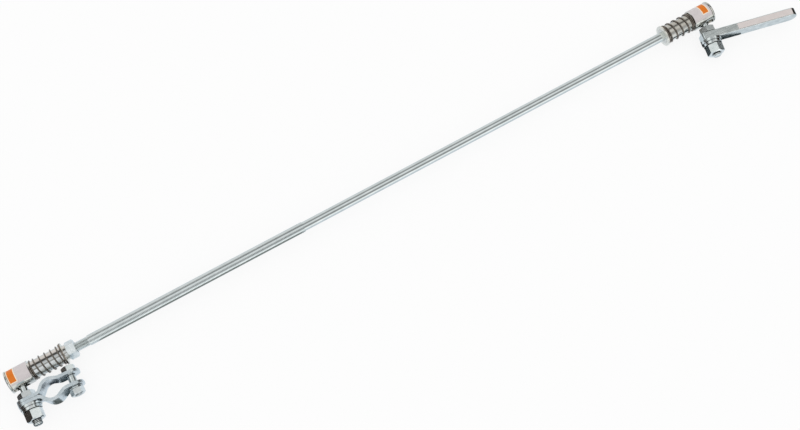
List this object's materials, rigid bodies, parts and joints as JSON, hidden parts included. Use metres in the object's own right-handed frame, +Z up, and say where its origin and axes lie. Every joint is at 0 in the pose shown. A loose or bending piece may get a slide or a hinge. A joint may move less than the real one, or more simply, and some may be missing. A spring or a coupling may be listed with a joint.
{
  "type": "steering tie rod",
  "caption": "Steel steering tie rod with quick-release ball couplers, a two-strap ram clamp at one end and a flat lever arm at the other.",
  "frame": {"origin": "centre of the ram clamp's bore", "axes": "+X along the rod from the clamp to the lever arm, +Z up along the clamp's bore, +Y from the clamp towards the rod"},
  "size_m": [0.9342, 0.0657, 0.0244],
  "materials": {
    "zinc_rod": "bright zinc, lightly drawn",
    "zinc_hardware": "bright zinc plate",
    "polished_coupler": "polished plate",
    "spring_wire": "brown-grey spring steel",
    "strap_zinc": "bright zinc on rolled strip",
    "arm_zinc": "bright zinc on drawn bar",
    "seat_acetal": "natural acetal",
    "label_film": "printed label film",
    "retainer_zinc": "pale zinc"
  },
  "bodies": {
    "rod": {"rod": "zinc_rod", "right_socket_body": "polished_coupler", "right_stop_ring": "polished_coupler", "right_release_spring": "spring_wire", "right_spring_retainer": "retainer_zinc"},
    "left_coupler": {"left_socket_body": "polished_coupler", "left_stop_ring": "polished_coupler", "left_release_spring": "spring_wire", "left_spring_retainer": "retainer_zinc"},
    "jam_nut": {"jam_nut": "zinc_hardware"},
    "left_sleeve": {"left_release_sleeve": "polished_coupler", "left_sleeve_label": "label_film"},
    "left_seat": {"left_ball_seat": "seat_acetal"},
    "ram_clamp": {"left_ball_stud": "zinc_hardware", "upper_strap": "strap_zinc", "lower_strap": "strap_zinc", "clamp_bolt": "zinc_hardware", "clamp_lock_washer": "zinc_hardware", "clamp_nut": "zinc_hardware", "left_flat_washer": "zinc_hardware", "left_lock_washer": "zinc_hardware", "left_stud_nut": "zinc_hardware"},
    "right_sleeve": {"right_release_sleeve": "polished_coupler", "right_sleeve_label": "label_film"},
    "right_seat": {"right_ball_seat": "seat_acetal"},
    "lever_arm": {"right_ball_stud": "zinc_hardware", "lever_arm": "arm_zinc", "arm_label": "label_film", "right_flat_washer": "zinc_hardware", "right_lock_washer": "zinc_hardware", "right_stud_nut": "zinc_hardware"}
  },
  "joints": [
    {"name": "length_adjust", "type": "slide", "parent": "rod", "child": "left_coupler", "axis": [1, 0, 0], "range_m": [-0.012, 0.003]},
    {"name": "jam_nut_back_off", "type": "slide", "parent": "left_coupler", "child": "jam_nut", "axis": [1, 0, 0], "range_m": [0, 0.0105]},
    {"name": "left_release", "type": "slide", "parent": "left_coupler", "child": "left_sleeve", "axis": [1, 0, 0], "range_m": [0, 0.019], "stiffness_N_per_m": 900, "springref_m": -0.008, "deforming": ["left_release_spring"]},
    {"name": "left_swing", "type": "hinge", "parent": "left_coupler", "child": "left_seat", "pos_m": [-0.0245, 0.02584, 0], "axis": [0, 0, 1], "range_deg": [-12, 2.5]},
    {"name": "left_spin", "type": "hinge", "parent": "left_seat", "child": "ram_clamp", "pos_m": [-0.0245, 0.02584, 0], "axis": [-0.0436, -0.999, 0], "continuous": true},
    {"name": "right_release", "type": "slide", "parent": "rod", "child": "right_sleeve", "axis": [-1, 0, 0], "range_m": [0, 0.019], "stiffness_N_per_m": 900, "springref_m": -0.008, "deforming": ["right_release_spring"]},
    {"name": "right_swing", "type": "hinge", "parent": "rod", "child": "right_seat", "pos_m": [0.8013, 0.02584, 0], "axis": [0, 0, 1], "range_deg": [-2, 25]},
    {"name": "right_spin", "type": "hinge", "parent": "right_seat", "child": "lever_arm", "pos_m": [0.8013, 0.02584, 0], "axis": [-0.2147, -0.9767, 0], "range_deg": [-150, 150]}
  ]
}
